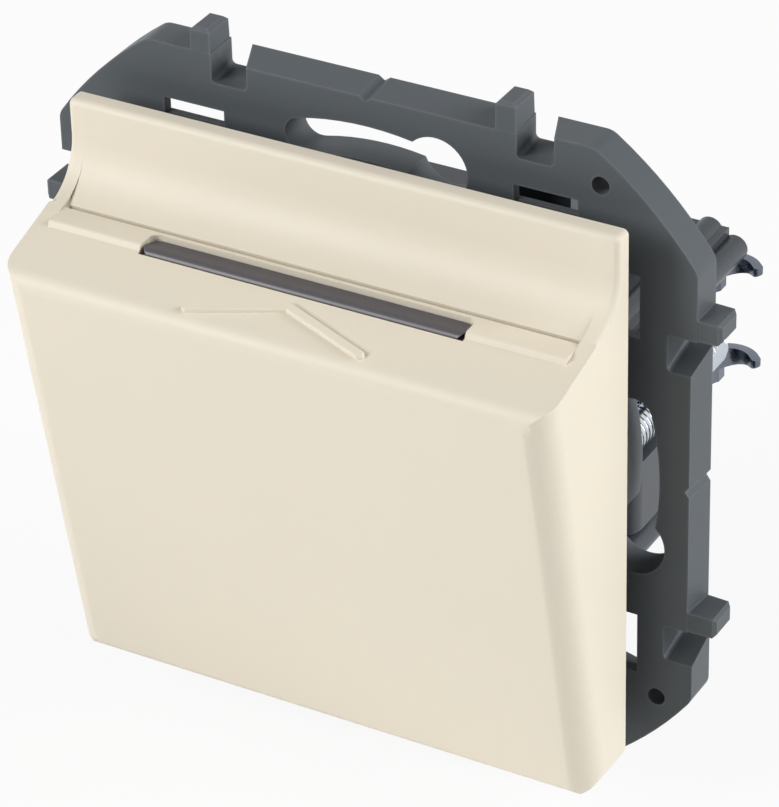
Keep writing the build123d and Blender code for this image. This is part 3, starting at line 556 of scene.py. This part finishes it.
plate = own_form("support_frame")
merge_flats(plate, plate.edges)
quarter_turns = [Matrix.Rotation(math.radians(90 * turn), 3, "Y") for turn in range(4)]
for vertex in plate.verts:
    for turn in quarter_turns:
        place = turn @ vertex.co
        apart = abs(place.x) - window_offset
        if place.y > pocket_floor and pocket_span[0] < place.z < pocket_span[1] and (
            abs(abs(apart) - pocket_half) < near
        ):
            place.x += math.copysign(pocket_wider, place.x * apart)
            vertex.co = turn.inverted() @ place
            break
support = finished_piece("support_frame_moulding", plate, "mechanism", frame_plastic)
soften = support.modifiers.new("soften", "BEVEL")
soften.width = edge_round
soften.segments = 2
soften.limit_method = "ANGLE"
soften.angle_limit = math.radians(35)
support.modifiers.move(1, 0)
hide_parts("support_frame")

# Housing, its rear cover and the front plate: dark grey heat-resistant mouldings, a little glossier
# than the frame, screwed together with the frame between them.

soot = (0.060, 0.068, 0.078)
soot_edge_rub_and_highlight = (0.19, 0.20, 0.23)
# The paler patchy edge colour is partly wear and partly a painted highlight along the edges.
housing_plastic = plastic("housing plastic", soot, soot_edge_rub_and_highlight, 0.36, mottle=0.12, grain=0.0005,
                          relief=0.10, edge_rub_and_highlight_amount=0.7, shine=0.4)
dress(housing_plastic, "mechanism_housing", "rear_cover", "front_plate")

# Card lever and contact slider: grey slippery mouldings inside the mechanism. The card pushes the
# lever's nose back, and the lever lifts the slider.

slider_grey = (0.27, 0.28, 0.30)
slider_plastic = plastic("slider plastic", slider_grey, (0.5, 0.51, 0.53), 0.42, relief=0.05)
dress(slider_plastic, "card_lever", "contact_slider")

# Lamp board and indicator lamp: a green glass-fibre board with a small amber neon lamp that
# lights the lens.

board_plastic = plastic("board laminate", (0.030, 0.115, 0.060), (0.20, 0.30, 0.18), 0.35,
                        mottle=0.3, grain=0.0006, relief=0.12)
dress(board_plastic, "lamp_board")
lamp_plastic = plastic("lamp glass", (0.85, 0.32, 0.07), (0.95, 0.6, 0.3), 0.12, mottle=0.1,
                       relief=0.02, coat=0.5)
dress(lamp_plastic, "indicator_lamp")

# Claws: two steel claws swing out on drawn pins as their zinc-plated screws draw the nuts forward.
# The screws have a rolled thread, wound here on a turned-down copy of the plain shank.


def metal_group():
    """Plated or rolled metal: fine drawn lines and cloudy plating."""
    group, start, end = new_group(
        "plated metal",
        (
            ("Colour", "NodeSocketColor", (0.8, 0.8, 0.8, 1.0)),
            ("Cloud colour", "NodeSocketColor", (0.5, 0.5, 0.5, 1.0)),
            ("Roughness", "NodeSocketFloat", 0.25),
            ("Line relief", "NodeSocketFloat", 0.1),
            ("Line size", "NodeSocketFloat", 0.0004),
        ),
        (
            ("Colour", "NodeSocketColor"),
            ("Roughness", "NodeSocketFloat"),
            ("Normal", "NodeSocketVector"),
        ),
    )
    place = add_node(group, "ShaderNodeTexCoord")
    cloud = add_node(group, "ShaderNodeTexNoise")
    cloud.inputs["Scale"].default_value = 180.0
    cloud.inputs["Detail"].default_value = 4.0
    group.links.new(place.outputs["Object"], cloud.inputs["Vector"])
    spread = add_node(group, "ShaderNodeMapRange")
    spread.inputs["From Min"].default_value = 0.35
    spread.inputs["From Max"].default_value = 0.7
    group.links.new(cloud.outputs["Fac"], spread.inputs["Value"])
    node, factor, first, second, result = mix_colour(group)
    group.links.new(spread.outputs[0], factor)
    group.links.new(start.outputs["Colour"], first)
    group.links.new(start.outputs["Cloud colour"], second)
    group.links.new(result, end.inputs["Colour"])
    rough = add_node(group, "ShaderNodeMath", operation="MULTIPLY_ADD")
    group.links.new(cloud.outputs["Fac"], rough.inputs[0])
    rough.inputs[1].default_value = 0.16
    group.links.new(start.outputs["Roughness"], rough.inputs[2])
    group.links.new(rough.outputs[0], end.inputs["Roughness"])
    pitch = add_node(group, "ShaderNodeMath", operation="DIVIDE")
    pitch.inputs[0].default_value = 1.0
    group.links.new(start.outputs["Line size"], pitch.inputs[1])
    drawn = add_node(group, "ShaderNodeMapping")
    drawn.inputs["Scale"].default_value = (1.0, 0.06, 1.0)
    group.links.new(place.outputs["Object"], drawn.inputs["Vector"])
    lines = add_node(group, "ShaderNodeTexNoise")
    lines.inputs["Detail"].default_value = 2.0
    group.links.new(drawn.outputs[0], lines.inputs["Vector"])
    group.links.new(pitch.outputs[0], lines.inputs["Scale"])
    relief = add_node(group, "ShaderNodeBump")
    relief.inputs["Distance"].default_value = 0.00005
    group.links.new(start.outputs["Line relief"], relief.inputs["Strength"])
    group.links.new(lines.outputs["Fac"], relief.inputs["Height"])
    group.links.new(relief.outputs["Normal"], end.inputs["Normal"])
    return group


plated_metal = metal_group()


def metal(name, colour, cloud, roughness, lines=0.1, line_size=0.0004):
    """A metal material that uses the group with this piece's own values."""
    material, tree = new_material(name)
    surface = add_node(tree, "ShaderNodeGroup", node_tree=plated_metal)
    for label, value in (
        ("Colour", (*colour, 1.0)),
        ("Cloud colour", (*cloud, 1.0)),
        ("Roughness", roughness),
        ("Line relief", lines),
        ("Line size", line_size),
    ):
        surface.inputs[label].default_value = value
    shader = add_node(tree, "ShaderNodeBsdfPrincipled")
    shader.inputs["Metallic"].default_value = 1.0
    tree.links.new(surface.outputs["Colour"], shader.inputs["Base Color"])
    tree.links.new(surface.outputs["Roughness"], shader.inputs["Roughness"])
    tree.links.new(surface.outputs["Normal"], shader.inputs["Normal"])
    finish = add_node(tree, "ShaderNodeOutputMaterial")
    tree.links.new(shader.outputs[0], finish.inputs["Surface"])
    return material


zinc = metal("bright zinc", (0.66, 0.70, 0.74), (0.50, 0.54, 0.60), 0.14, lines=0.25)
drawn_steel = metal("drawn steel", (0.60, 0.61, 0.63), (0.50, 0.51, 0.53), 0.2)
# The claw steel's near-black blue-grey is a painted reflection of dark surroundings, not the steel's
# own colour.
claw_steel_painted_dark = metal("claw steel with painted dark reflection", (0.20, 0.22, 0.26), (0.11, 0.13, 0.17), 0.16, lines=0.25)

claw_edge = 0.15 * millimetre
thread_crest = 1.9 * millimetre
thread_root = 1.55 * millimetre
thread_pitch = 0.7 * millimetre
thread_from = 1.0 * millimetre
thread_to = 21.8 * millimetre
thread_steps = 24
thread_half = 0.42
thread_sunk = 0.98


def threaded_screw(node_name, material):
    """A copy of a claw screw with its plain shank turned down and a sharp thread wound on it."""
    form = own_form(node_name)
    lowest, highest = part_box(node_name)
    axis_x = (lowest[0] + highest[0]) / 2
    for vertex in form.verts:
        reach = math.hypot(vertex.co.x - axis_x, vertex.co.z)
        if vertex.co.y > 0 and abs(reach - thread_crest) < near:
            vertex.co.x = axis_x + (vertex.co.x - axis_x) * thread_root / reach
            vertex.co.z *= thread_root / reach
    rings = []
    for step in range(int((thread_to - thread_from) / thread_pitch * thread_steps)):
        angle = math.tau * step / thread_steps
        middle = thread_from + thread_pitch * step / thread_steps
        rings.append([
            form.verts.new((
                axis_x + radius * math.cos(angle),
                middle + offset * thread_pitch,
                radius * math.sin(angle),
            ))
            for radius, offset in (
                (thread_root * thread_sunk, -thread_half),
                (thread_crest, 0.0),
                (thread_root * thread_sunk, thread_half),
            )
        ])
    for first, second in zip(rings, rings[1:]):
        for row in range(3):
            after = (row + 1) % 3
            form.faces.new((first[row], first[after], second[after], second[row]))
    form.faces.new(rings[0])
    form.faces.new(reversed(rings[-1]))
    bmesh.ops.recalc_face_normals(form, faces=form.faces)
    piece = finished_piece(f"{node_name}_threaded", form, node_name, material, sharp=40)
    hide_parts(node_name)


sides = ("left", "right")
for side in sides:
    threaded_screw(f"claw_screw_{side}", zinc)
    dress(claw_steel_painted_dark, f"claw_nut_{side}")
    dress(claw_steel_painted_dark, f"claw_{side}", edge=claw_edge)
    dress(drawn_steel, f"claw_pin_{side}")

# Terminals: bright cages drawn rearward by slotted steel screws, so that a wire is clamped against
# the brass strip that runs through each pair.

brass = metal("rolled brass", (0.72, 0.52, 0.22), (0.60, 0.42, 0.18), 0.2)
levels = ("upper", "lower")
for side in sides:
    dress(brass, f"contact_strip_{side}")
    for level in levels:
        dress(zinc, f"terminal_cage_{level}_{side}")
        dress(drawn_steel, f"terminal_screw_{level}_{side}")

# Housing screws and small contact pieces: plated screws through the front plate, the lever's drawn
# pin, and the brass bridge that the slider lifts to the strips.

for level in levels:
    dress(zinc, f"housing_screw_{level}")
dress(drawn_steel, "lever_pin")
dress(brass, "contact_bridge")

# Contact spring: a drawn wire coil with closed ends between the housing's roof and the bridge. The
# slider presses it together from below.

spring_low = 6.1 * millimetre
spring_high = 13.0 * millimetre
spring_depth = 6.6 * millimetre
coil_radius = 1.33 * millimetre
wire_radius = 0.23 * millimetre
coils = 6
coil_steps = 40
wire_sides = 8
closed_coil = 0.75

wire = bmesh.new()
loops = []
for step in range(coils * coil_steps + 1):
    turns = step / coil_steps
    rise = min(max((turns - closed_coil) / (coils - 2 * closed_coil), 0.0), 1.0)
    angle = math.tau * turns
    outward = Vector((math.cos(angle), math.sin(angle), 0.0))
    middle = Vector((0.0, spring_depth, spring_low + wire_radius)) + outward * coil_radius
    middle.z += rise * (spring_high - spring_low - 2 * wire_radius)
    loops.append([
        wire.verts.new(
            middle + wire_radius * (math.cos(turn) * outward + math.sin(turn) * Vector((0.0, 0.0, 1.0)))
        )
        for turn in (math.tau * corner / wire_sides for corner in range(wire_sides))
    ])
for first, second in zip(loops, loops[1:]):
    for index in range(wire_sides):
        after = (index + 1) % wire_sides
        wire.faces.new((first[index], second[index], second[after], first[after]))
wire.faces.new(loops[0])
wire.faces.new(reversed(loops[-1]))
bmesh.ops.recalc_face_normals(wire, faces=wire.faces)
spring = finished_piece("contact_spring_wire", wire, "mechanism", drawn_steel)
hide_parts("contact_spring")
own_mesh(spring)
